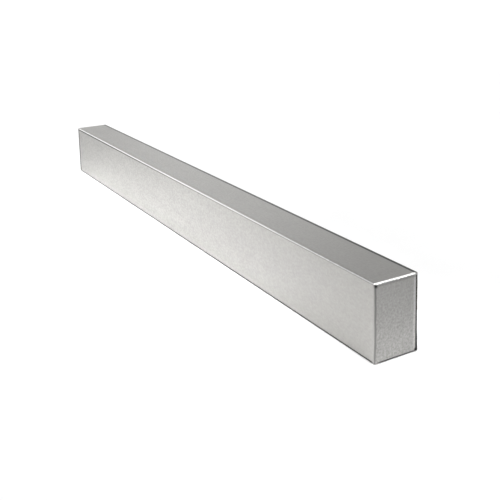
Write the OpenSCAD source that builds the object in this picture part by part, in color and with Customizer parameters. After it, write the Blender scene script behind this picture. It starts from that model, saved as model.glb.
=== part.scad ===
// Rectangular key stock: a solid cold-drawn steel bar that is cut to length and
// fitted in the keyways of a shaft and a hub. It lies along X on its narrow face,
// and its origin is the middle of that face. All sizes are in millimetres.

/* [Section] */
// Width across the two flanks that bear on the keyway
key_width = 19.05; // [6:0.05:40]
// Height from the seat face to the crown face
key_height = 28.575; // [8:0.025:60]
// Radius that the drawing die leaves along the four long edges
corner_radius = 0.6; // [0.1:0.05:1.5]

/* [Ends] */
// Length between the two cut faces
key_length = 304.8; // [25:0.1:1000]
// Leg of the chamfer dressed round each cut face
end_chamfer = 0.7; // [0.1:0.05:2]

/* [Hidden] */
$fn = 64;
steel_colour = [0.74, 0.74, 0.73];

// The section as drawn: a centred rectangle whose corners are true arcs
module drawn_section(width, height, radius) {
    square([width - 2 * radius, height], center = true);
    square([width, height - 2 * radius], center = true);
    for (side = [-1, 1], level = [-1, 1])
        translate([side * (width / 2 - radius), level * (height / 2 - radius)])
            circle(r = radius);
}

// The outline of a bar seen from the side: a centred rectangle with its four corners cut off at 45 degrees
module dressed_outline(length, depth, chamfer) {
    long = length / 2;
    deep = depth / 2;
    polygon([
        [chamfer - long, -deep], [long - chamfer, -deep],
        [long, chamfer - deep], [long, deep - chamfer],
        [long - chamfer, deep], [chamfer - long, deep],
        [-long, deep - chamfer], [-long, chamfer - deep]
    ]);
}

// The bar: the drawn section run out along X, and both ends dressed in elevation and in plan
module key_bar() {
    color(steel_colour)
        translate([0, 0, key_height / 2])
            intersection() {
                rotate([90, 0, 90])
                    linear_extrude(height = key_length, center = true)
                        drawn_section(key_width, key_height, corner_radius);
                rotate([90, 0, 0])
                    linear_extrude(height = key_width, center = true)
                        dressed_outline(key_length, key_height, end_chamfer);
                linear_extrude(height = key_height, center = true)
                    dressed_outline(key_length, key_width, end_chamfer);
            }
}

key_bar();
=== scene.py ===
import math

import bmesh
import bpy
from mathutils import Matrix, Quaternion, Vector, noise


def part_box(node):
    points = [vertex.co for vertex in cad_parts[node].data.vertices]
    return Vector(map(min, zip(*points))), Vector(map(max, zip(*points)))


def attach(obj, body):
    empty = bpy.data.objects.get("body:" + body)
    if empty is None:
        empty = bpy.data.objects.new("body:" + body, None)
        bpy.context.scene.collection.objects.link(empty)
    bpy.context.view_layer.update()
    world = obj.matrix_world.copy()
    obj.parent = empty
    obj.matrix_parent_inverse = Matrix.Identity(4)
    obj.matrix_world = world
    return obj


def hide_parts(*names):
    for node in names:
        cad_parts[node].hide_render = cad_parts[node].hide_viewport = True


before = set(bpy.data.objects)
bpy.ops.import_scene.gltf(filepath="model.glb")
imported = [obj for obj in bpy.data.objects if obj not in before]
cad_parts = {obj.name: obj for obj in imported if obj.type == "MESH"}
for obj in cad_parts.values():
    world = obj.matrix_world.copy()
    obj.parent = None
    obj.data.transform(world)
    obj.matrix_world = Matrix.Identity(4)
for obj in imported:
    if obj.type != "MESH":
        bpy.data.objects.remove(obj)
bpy.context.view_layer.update()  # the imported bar, standing on its seat face with the origin under its middle

# Key bar
# One length of bright steel, drawn cold through a die that leaves flat satin faces and four small
# round edges. It is cut off square, and a file is run round each cut face to break its edge.
bar_low, bar_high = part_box("key_bar")
length, width, height = bar_high - bar_low
edge_radius = 0.0006
edge_steps = 6
end_chamfer = 0.0007
ring_pitch = 0.0010  # between two rings of vertices along the bar
file_pitch = 0.0008  # between two vertices along a filed edge
rim_wander = 0.000044  # how far the outer rim of the chamfer strays along the bar
file_wander = 0.00022  # how far its inner rim strays on the cut face
least_wander = -0.4  # the inner rim strays outwards by no more than this share
seat_share = 0.5  # leg of the chamfer at the seat, as a share of the full leg
full_leg_level = 0.3 * height  # from here up the leg is the full one
knock_depth = 0.00012
knock_cells = 450  # cells of noise to the metre
knock_threshold = 0.35

FACES, EDGES, ENDS = range(3)  # the bar's three finishes, in the order of its material slots

bar_mesh = bmesh.new()
bmesh.ops.create_grid(bar_mesh, x_segments=1, y_segments=1, size=0.5)
bmesh.ops.scale(bar_mesh, vec=(height, width, 1), verts=bar_mesh.verts)
bmesh.ops.bevel(
    bar_mesh, geom=bar_mesh.verts[:], offset=edge_radius, offset_type="OFFSET", affect="VERTICES",
    segments=edge_steps, profile=0.5, material=-1,
)
upright = Quaternion((0, 1, 0), math.radians(-90)).to_matrix()
bmesh.ops.rotate(bar_mesh, matrix=upright, verts=bar_mesh.verts)
bmesh.ops.translate(bar_mesh, vec=(end_chamfer - length / 2, 0, height / 2), verts=bar_mesh.verts)


def push_out(end_face, distance):
    """Extrude a face of the bar along X and return the vertices of its new rim."""
    made = bmesh.ops.extrude_face_region(bar_mesh, geom=[end_face])["geom"]
    rim = [part for part in made if isinstance(part, bmesh.types.BMVert)]
    bmesh.ops.translate(bar_mesh, vec=(distance, 0, 0), verts=rim)
    return rim


def filed_leg(level):
    """The leg of the chamfer at a level of the bar: the file bore less on the edge towards the seat."""
    share = min(1, level / full_leg_level)
    return end_chamfer * (seat_share + (1 - seat_share) * share)


def stray(vert, row, cells):
    """How a filed rim strays at a vertex, from -1 to 1. Each rim has a row of the noise to itself."""
    return noise.noise((row, vert.co.y * cells, vert.co.z * cells))


(section_face,) = bar_mesh.faces
push_out(section_face, length - 2 * end_chamfer)
bmesh.ops.recalc_face_normals(bar_mesh, faces=bar_mesh.faces)
long_edges = [edge for edge in bar_mesh.edges if edge.calc_length() > length / 2]
bmesh.ops.subdivide_edges(bar_mesh, edges=long_edges, cuts=round(length / ring_pitch))

# The long edges carry small knocks from handling. Each edge has a row of the noise to itself.
for vert in bar_mesh.verts:
    across = abs(vert.co.y) - width / 2 + edge_radius
    up = abs(vert.co.z - height / 2) - height / 2 + edge_radius
    if across > 0 and up > 0:
        corner = Vector((0, math.copysign(1, vert.co.y), math.copysign(1, vert.co.z - height / 2)))
        own_row = (vert.co.x * knock_cells, corner.y * 7.3, corner.z * 3.1)
        vert.co -= corner * max(0, noise.noise(own_row) - knock_threshold) * knock_depth

# The file leaves a chamfer of uneven width round each cut face
for side in (-1, 1):
    end_face = max(bar_mesh.faces, key=lambda face: face.calc_center_median().x * side)
    for edge in list(end_face.edges):
        if edge.calc_length() > edge_radius:
            bmesh.ops.bisect_edges(bar_mesh, edges=[edge], cuts=round(edge.calc_length() / file_pitch))
    outer_rim = list(end_face.verts)
    inner_rim = push_out(end_face, side * end_chamfer)
    bmesh.ops.delete(bar_mesh, geom=[end_face], context="FACES_ONLY")
    for vert in outer_rim:
        vert.co.x = side * (length / 2 - filed_leg(vert.co.z) - rim_wander * stray(vert, side * 5.0, 420))
    for vert in inner_rim:
        inset = filed_leg(vert.co.z) + file_wander * max(least_wander, stray(vert, side * 9.0, 380))
        y_limit = width / 2 - inset
        z_limit = height / 2 - inset
        vert.co.y = max(-y_limit, min(y_limit, vert.co.y))
        vert.co.z = height / 2 + max(-z_limit, min(z_limit, vert.co.z - height / 2))
    bmesh.ops.remove_doubles(bar_mesh, verts=inner_rim, dist=0.00001)

# A face that leans belongs to an edge: the long edges are smooth, and the filed chamfers are flat
bar_mesh.normal_update()
for face in bar_mesh.faces:
    leans = max(map(abs, face.normal)) < 0.999
    end_on = abs(face.normal.x)
    face.smooth = leans and end_on < 0.2
    if leans:
        face.material_index = EDGES
    elif end_on > 0.99:
        face.material_index = ENDS
    else:
        face.material_index = FACES


class Wire:
    """An output socket of a node tree. Arithmetic on it adds Math nodes to the tree."""

    def __init__(self, tree, socket=None):
        self.tree = tree
        self.socket = socket

    def add(self, kind, settings, sockets, output=0):
        """Add a node, set its settings, then give its named sockets their values or links."""
        made = self.tree.nodes.new(kind)
        for name, value in settings.items():
            setattr(made, name, value)
        for name, value in sockets.items():
            if isinstance(value, Wire):
                self.tree.links.new(value.socket, made.inputs[name])
            else:
                made.inputs[name].default_value = value
        return Wire(self.tree, made.outputs[output] if made.outputs else None)

    def math(self, operation, *values):
        return self.add("ShaderNodeMath", {"operation": operation}, dict(enumerate(values)))

    def __add__(self, other):
        return self.math("ADD", self, other)

    def __sub__(self, other):
        return self.math("SUBTRACT", self, other)

    def __rsub__(self, other):
        return self.math("SUBTRACT", other, self)

    def __mul__(self, other):
        return self.math("MULTIPLY", self, other)

    __radd__ = __add__
    __rmul__ = __mul__

    def __abs__(self):
        return self.math("ABSOLUTE", self)

    def larger(self, other):
        return self.math("MAXIMUM", self, other)

    def smaller(self, other):
        return self.math("MINIMUM", self, other)

    def between(self, low, high):
        """0 below low, 1 above high, and a smooth step from one to the other."""
        settings = {"interpolation_type": "SMOOTHSTEP"}
        return self.add("ShaderNodeMapRange", settings, {"Value": self, "From Min": low, "From Max": high})

    def noise(self, scale, detail=2.0, stretch=(1, 1, 1)):
        """Noise over these coordinates, from 0 to 1, with so many cells to the metre."""
        spread = self.add("ShaderNodeVectorMath", {"operation": "MULTIPLY"}, {0: self, 1: stretch})
        return self.add("ShaderNodeTexNoise", {}, {"Vector": spread, "Scale": scale, "Detail": detail})

    def mix(self, low_colour, high_colour):
        """A colour between two, by this value."""
        sockets = {"Factor": self, 6: low_colour, 7: high_colour}
        return self.add("ShaderNodeMix", {"data_type": "RGBA"}, sockets, output=2)


def new_finish(name):
    """A material with an empty node tree, and its Object coordinates."""
    finish = bpy.data.materials.new(name)
    finish.use_nodes = True
    finish.node_tree.nodes.clear()
    place = Wire(finish.node_tree).add("ShaderNodeTexCoord", {}, {}, output="Object")
    return finish, place


def show_surface(shader):
    """End a material's node tree with its shader."""
    shader.add("ShaderNodeOutputMaterial", {}, {"Surface": shader})


def axes(place):
    """The X, Y and Z of a point, each as a wire."""
    split = place.add("ShaderNodeSeparateXYZ", {}, {"Vector": place})
    return [Wire(place.tree, socket) for socket in split.socket.node.outputs]


def spot(place, corner, core, rim):
    """1 nearer than core to a corner of the bar, and 0 farther from it than rim."""
    points = {0: place, 1: corner}
    gap = place.add("ShaderNodeVectorMath", {"operation": "DISTANCE"}, points, output="Value")
    return 1 - gap.between(core, rim)


def painted_corner_shade(place):
    """1 at two corners of the near end that are painted dark, a painted shade, 0 elsewhere."""
    back_foot = spot(place, (length / 2, width / 2 - 0.0005, 0.0007), 0.0009, 0.0015)
    front_crown = spot(place, (length / 2, 0.0006 - width / 2, height - 0.0009), 0, 0.0012)
    return back_foot.larger(front_crown)


def unshaded_front_foot(place):
    """1 at the front foot corner of the near end, where the painted shade at the foot is left out, 0
    elsewhere.
    """
    return spot(place, (length / 2, -width / 2, 0), 0.0010, 0.0022)


# The faces: satin steel with a fine grain drawn out along the bar, calmer towards the near end, with the crown
# a little darker and the flanks darkened towards their far top by painted shade. Painted shade also lies in
# dark lines along the foot of both flanks, along the back of the crown, and on the front flank under the crown
# and down the far end.
drawn_finish, place = new_finish("drawn_steel")
dark_grain = (0.193, 0.19, 0.183, 1)
pale_grain = (0.556, 0.546, 0.527, 1)
painted_shade_black = (0.04, 0.04, 0.04, 1)
along, across, level = axes(place)
nearness = along.between(-length / 2, length / 2)
grain = place.noise(1300, 3.0, (0.7, 1, 1))
cloud = place.noise(200, 2.0, (0.4, 1, 1))
calm = along.between(-0.2 * length, length / 2)
tone = 0.5 + (0.85 - 0.55 * calm) * (grain - 0.5) + (0.2 - 0.12 * calm) * (cloud - 0.5)
on_crown = level.between(height - 0.0002, height - 0.0001)
# Painted shade: the flanks are darker towards their far top
far_part = 1 - along.between(-0.5 * length, -0.2 * length)
painted_far_shade = (1 - on_crown) * far_part * level.between(0.4 * height, height)
face_tone = tone - 0.08 * on_crown - 0.11 * painted_far_shade
# Painted shade: dark lines along the foot, the back of the crown, under the crown at the front and down the
# far end
at_front = 1 - across.between(-0.004, 0.004)
off_seat = level.between(0.0001, 0.0002)
back_line = 1 - (width / 2 - across).between(0.0013, 0.0019)
upper_line = 1 - (height - level + 0.0005 * nearness).between(0.0009, 0.0016)
lower_line = (1 - unshaded_front_foot(place)) * off_seat * (1 - level.between(0.0006, 0.0010))
far_line = 1 - (along + length / 2).between(0.0016, 0.0030)
flank_line = lower_line + at_front * (upper_line * (0.95 - 0.85 * nearness) + far_line)
painted_edge_shade = on_crown * back_line + (1 - on_crown) * flank_line
drawn_colour = painted_edge_shade.mix(face_tone.mix(dark_grain, pale_grain), painted_shade_black)
drawn_bump = place.add("ShaderNodeBump", {}, {"Strength": 0.05, "Distance": 0.0002, "Height": grain})
show_surface(place.add("ShaderNodeBsdfPrincipled", {}, {
    "Base Color": drawn_colour, "Metallic": 1.0, "Roughness": 0.36 + 0.12 * tone, "Normal": drawn_bump,
}))

# The edges: steel painted dark as a painted shade, darker towards the top and darkest at the foot. The front
# of the crown carries a painted highlight under the edge lamp's own, in a line that breaks up into dashes
# towards the near end, where the front edges are also paler. The chamfer at the top of each end carries a
# painted highlight under the rear lamp's own.
edge_painted_finish, place = new_finish("edge_painted_light")
low_upright = (0.18, 0.18, 0.175, 1)
high_upright = (0.15, 0.15, 0.146, 1)
pale_edge_steel = (0.36, 0.355, 0.345, 1)
dull_highlight_colour = (0.12, 0.12, 0.118, 1)
painted_highlight_colour = (0.75, 0.75, 0.735, 1)
corner_shade_black = (0.01, 0.01, 0.01, 1)
along, across, level = axes(place)
nearness = along.between(-length / 2, length / 2)
rise = along.between(-0.15 * length, 0.08 * length)  # the painted highlight line grows brighter
fall = along.between(0.24 * length, 0.44 * length)  # and then breaks up
end_gap = length / 2 - abs(along)
at_end = 1 - end_gap.between(0.0006, 0.0009)
at_front = 1 - across.between(-0.004, 0.004)
paler_top = 0.45 * fall * level.between(0.5 * height, height)
paler_edge = at_end * nearness * end_gap.between(0.0003, 0.0006) + (1 - at_end) * paler_top
# Painted shade: the dark edge colour, darker towards the top and darkest at the foot
upright_colour = level.between(0, height).mix(low_upright, high_upright)
foot = (1 - unshaded_front_foot(place)) * (1 - level.between(0.0005, 0.0009))
dark_colour = foot.mix((at_front * paler_edge).mix(upright_colour, pale_edge_steel), painted_shade_black)
# Painted highlights: the bright bands along the front of the crown and the top of each end, under the lamps'
# own highlights
front_highlight = at_front * (level - 0.0003 * nearness).between(height - 0.0008, height - 0.0006)
jagged_level = level + 0.0005 * place.noise(900, 2.0)
off_back = (width / 2 - across).between(0.0008, 0.0018)
end_highlight = at_end * off_back * jagged_level.between(height - 0.0003, height - 0.0001)
dashes = place.noise(260, 2.0).between(0.5, 0.6) * end_gap.between(0.003, 0.007)
line_shine = 0.45 + 0.1 * rise - fall * (0.26 - 0.1 * dashes)
shine = at_end + (1 - at_end) * line_shine
highlighted_colour = front_highlight.larger(end_highlight).mix(dark_colour, shine.mix(dull_highlight_colour, painted_highlight_colour))
# Two corners of the near end are painted dark: painted shade
edge_colour = painted_corner_shade(place).mix(highlighted_colour, corner_shade_black)
scuff = place.noise(900, 3.0)
edge_bump = place.add("ShaderNodeBump", {}, {"Strength": 0.05, "Distance": 0.0002, "Height": scuff})
show_surface(place.add("ShaderNodeBsdfPrincipled", {}, {
    "Base Color": edge_colour, "Metallic": 1.0, "Roughness": 0.24 + 0.12 * scuff,
    "Specular Tint": (0.3, 0.3, 0.3, 1), "Normal": edge_bump,
}))

# The ends: cut smooth near the crown and torn to a fine granular surface towards the seat, and lighter towards
# the seat, a painted light for the paper's bounce. A pale rim runs down the back. Painted shade lies along the
# foot and beyond the pale rim, and under the chamfer at the crown.
cut_finish, place = new_finish("cut_end")
dark_cut = (0.124, 0.123, 0.119, 1)
pale_cut = (0.418, 0.413, 0.402, 1)
end_shade_black = (0.02, 0.02, 0.02, 1)
across, level = axes(place)[1:]
torn_and_bounce_lit = 1 - (level + 0.006 * place.noise(180, 2.0)).between(0, height)
crystals = place.noise(1300, 4.0)
back_gap = width / 2 - across
pale_rim = 1 - back_gap.between(0.0020, 0.0026)
# Lighter towards the seat: painted light for the paper's bounce, together with the granular tear
cut_tone = 0.34 + 0.42 * torn_and_bounce_lit * torn_and_bounce_lit + (0.45 + 0.75 * torn_and_bounce_lit) * (crystals - 0.5) + 0.25 * pale_rim
# Painted shade along the foot and the back edge, and under the chamfer at the crown
shade_gap = back_gap.smaller(level + 0.0007)
end_shade_line = (1 - unshaded_front_foot(place)) * (1 - shade_gap.between(0.0011, 0.0015))
crown_shade = 0.3 - 0.3 * (height - level).between(0.0010, 0.0015)
painted_edge_shade = end_shade_line.larger(crown_shade).larger(painted_corner_shade(place))
end_colour = painted_edge_shade.mix(cut_tone.mix(dark_cut, pale_cut), end_shade_black)
tear = crystals * (0.3 + 0.7 * torn_and_bounce_lit)
cut_bump = place.add("ShaderNodeBump", {}, {"Strength": 0.12, "Distance": 0.0002, "Height": tear})
show_surface(place.add("ShaderNodeBsdfPrincipled", {}, {
    "Base Color": end_colour, "Metallic": 1.0, "Roughness": 0.4 + 0.12 * torn_and_bounce_lit, "Normal": cut_bump,
}))

bar_data = bpy.data.meshes.new("steel_key_bar")
bar_mesh.to_mesh(bar_data)
bar_mesh.free()
for finish in (drawn_finish, edge_painted_finish, cut_finish):
    bar_data.materials.append(finish)
bar = bpy.data.objects.new("steel_key_bar", bar_data)
bpy.context.collection.objects.link(bar)
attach(bar, "root")
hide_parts("key_bar")

# Floor
# A round sheet of matt white paper that the bar stands on, wide enough to fill the picture. It fades
# out towards its rim, so that no horizon shows.
floor_radius = 1.1
floor_drop = 0.00005
floor_mesh = bmesh.new()
bmesh.ops.create_circle(floor_mesh, cap_ends=True, radius=floor_radius, segments=96)
bmesh.ops.translate(floor_mesh, vec=(0, 0, -floor_drop), verts=floor_mesh.verts)
floor_data = bpy.data.meshes.new("paper_floor")
floor_mesh.to_mesh(floor_data)
floor_mesh.free()
paper_finish, place = new_finish("white_paper")
paper_colour = place.noise(40, 3.0).mix((0.91, 0.91, 0.91, 1), (0.94, 0.94, 0.94, 1))
off_middle = place.add("ShaderNodeVectorMath", {"operation": "LENGTH"}, {0: place}, output="Value")
show_surface(place.add("ShaderNodeBsdfPrincipled", {}, {
    "Base Color": paper_colour, "Roughness": 0.9, "Specular IOR Level": 0.1,
    "Alpha": 1 - off_middle.between(0.5 * floor_radius, floor_radius),
}))
floor_data.materials.append(paper_finish)
floor = bpy.data.objects.new("paper_floor", floor_data)
bpy.context.collection.objects.link(floor)

# Studio light
# A pale surround that is brightest along the horizon and grey overhead, three soft lamps and a broad
# sky light, and small spots that whiten the paper round the bar's foot.
surround = bpy.data.worlds.new("pale_surround")
surround.use_nodes = True
surround.node_tree.nodes.clear()
around = Wire(surround.node_tree).add("ShaderNodeTexCoord", {}, {}, output="Generated")
slope = around.add("ShaderNodeSeparateXYZ", {}, {"Vector": around}, output="Z")
sky_colour = slope.between(0.2, 0.5).mix((1, 1, 1, 1), (0.25, 0.25, 0.25, 1))
sky = around.add("ShaderNodeBackground", {}, {"Color": sky_colour, "Strength": 1.25})
sky.add("ShaderNodeOutputWorld", {}, {"Surface": sky})
bpy.context.scene.world = surround


def hang(name, lamp, place, aim):
    """Put a lamp at a place, turned to a point, where the camera itself doesn't see it."""
    holder = bpy.data.objects.new(name, lamp)
    holder.location = place
    holder.rotation_mode = "QUATERNION"
    holder.rotation_quaternion = (Vector(aim) - Vector(place)).to_track_quat("-Z", "Y")
    holder.visible_camera = False
    bpy.context.collection.objects.link(holder)


def soft_lamp(name, place, aim, size, power):
    """Hang a square soft lamp."""
    lamp = bpy.data.lights.new(name, "AREA")
    lamp.size = size
    lamp.energy = power
    hang(name, lamp, place, aim)


soft_lamp("low_lamp", (-0.93, 0.54, 0.25), aim=(0, 0, 0.02), size=0.4, power=0.34)
soft_lamp("edge_lamp", (-0.93, -0.25, 0.29), aim=(0, 0, 0.02), size=0.4, power=2.26)
soft_lamp("rear_lamp", (0.456, 0.423, 0.757), aim=(0.15, 0, 0.028), size=0.5, power=0.85)
sky_light = bpy.data.lights.new("sky_light", "SUN")
sky_light.energy = 2.25
sky_light.angle = math.radians(90)
hang("sky_light", sky_light, (-0.35, -0.5, 0.79), aim=(0, 0, 0))


def foot_spot(place, aim, spread, power):
    """Hang a small spot that brightens the paper at the bar's foot, for the bar to reflect."""
    lamp = bpy.data.lights.new("foot_spot", "SPOT")
    lamp.energy = power
    lamp.spot_size = math.radians(spread)
    lamp.spot_blend = 1.0
    lamp.shadow_soft_size = 0.04
    hang("foot_spot", lamp, place, aim)


for along_bar, power in ((-0.16, 6.0), (-0.12, 19.2), (0.04, 17.3), (0.08, 9.3), (0.12, 5.5)):
    foot_spot((along_bar - 0.1, -0.3, 0.5), aim=(along_bar, -0.014, 0), spread=9, power=power)
foot_spot((-0.14, -0.3, 0.5), aim=(-0.04, -0.03, 0), spread=14, power=18.2)
foot_spot((0.45, 0.15, 0.45), aim=(0.18, 0.01, 0), spread=12, power=16.0)

# Camera
# It stands off the near end of the bar, a little above it, with the lens slid down to keep the
# bar's upright edges near upright in the picture.
camera_place = (0.3459, -0.1665, 0.1339)
camera_azimuth = 60.04
camera_elevation = 9.95
camera_roll = -1.34
camera_data = bpy.data.cameras.new("camera")
camera_data.sensor_width = 36.0
camera_data.lens = 57.38
camera_data.shift_y = -0.3
camera_data.clip_start = 0.01
camera_data.clip_end = 30.0
camera = bpy.data.objects.new("camera", camera_data)
azimuth, elevation = math.radians(camera_azimuth), math.radians(camera_elevation)
back = Vector((
    math.sin(azimuth) * math.cos(elevation), -math.cos(azimuth) * math.cos(elevation), math.sin(elevation),
))
camera.location = camera_place
camera.rotation_mode = "QUATERNION"
turn = Quaternion((0, 0, 1), math.radians(camera_roll))
camera.rotation_quaternion = (-back).to_track_quat("-Z", "Y") @ turn
bpy.context.collection.objects.link(camera)
bpy.context.scene.camera = camera
bpy.context.scene.view_settings.view_transform = "Standard"
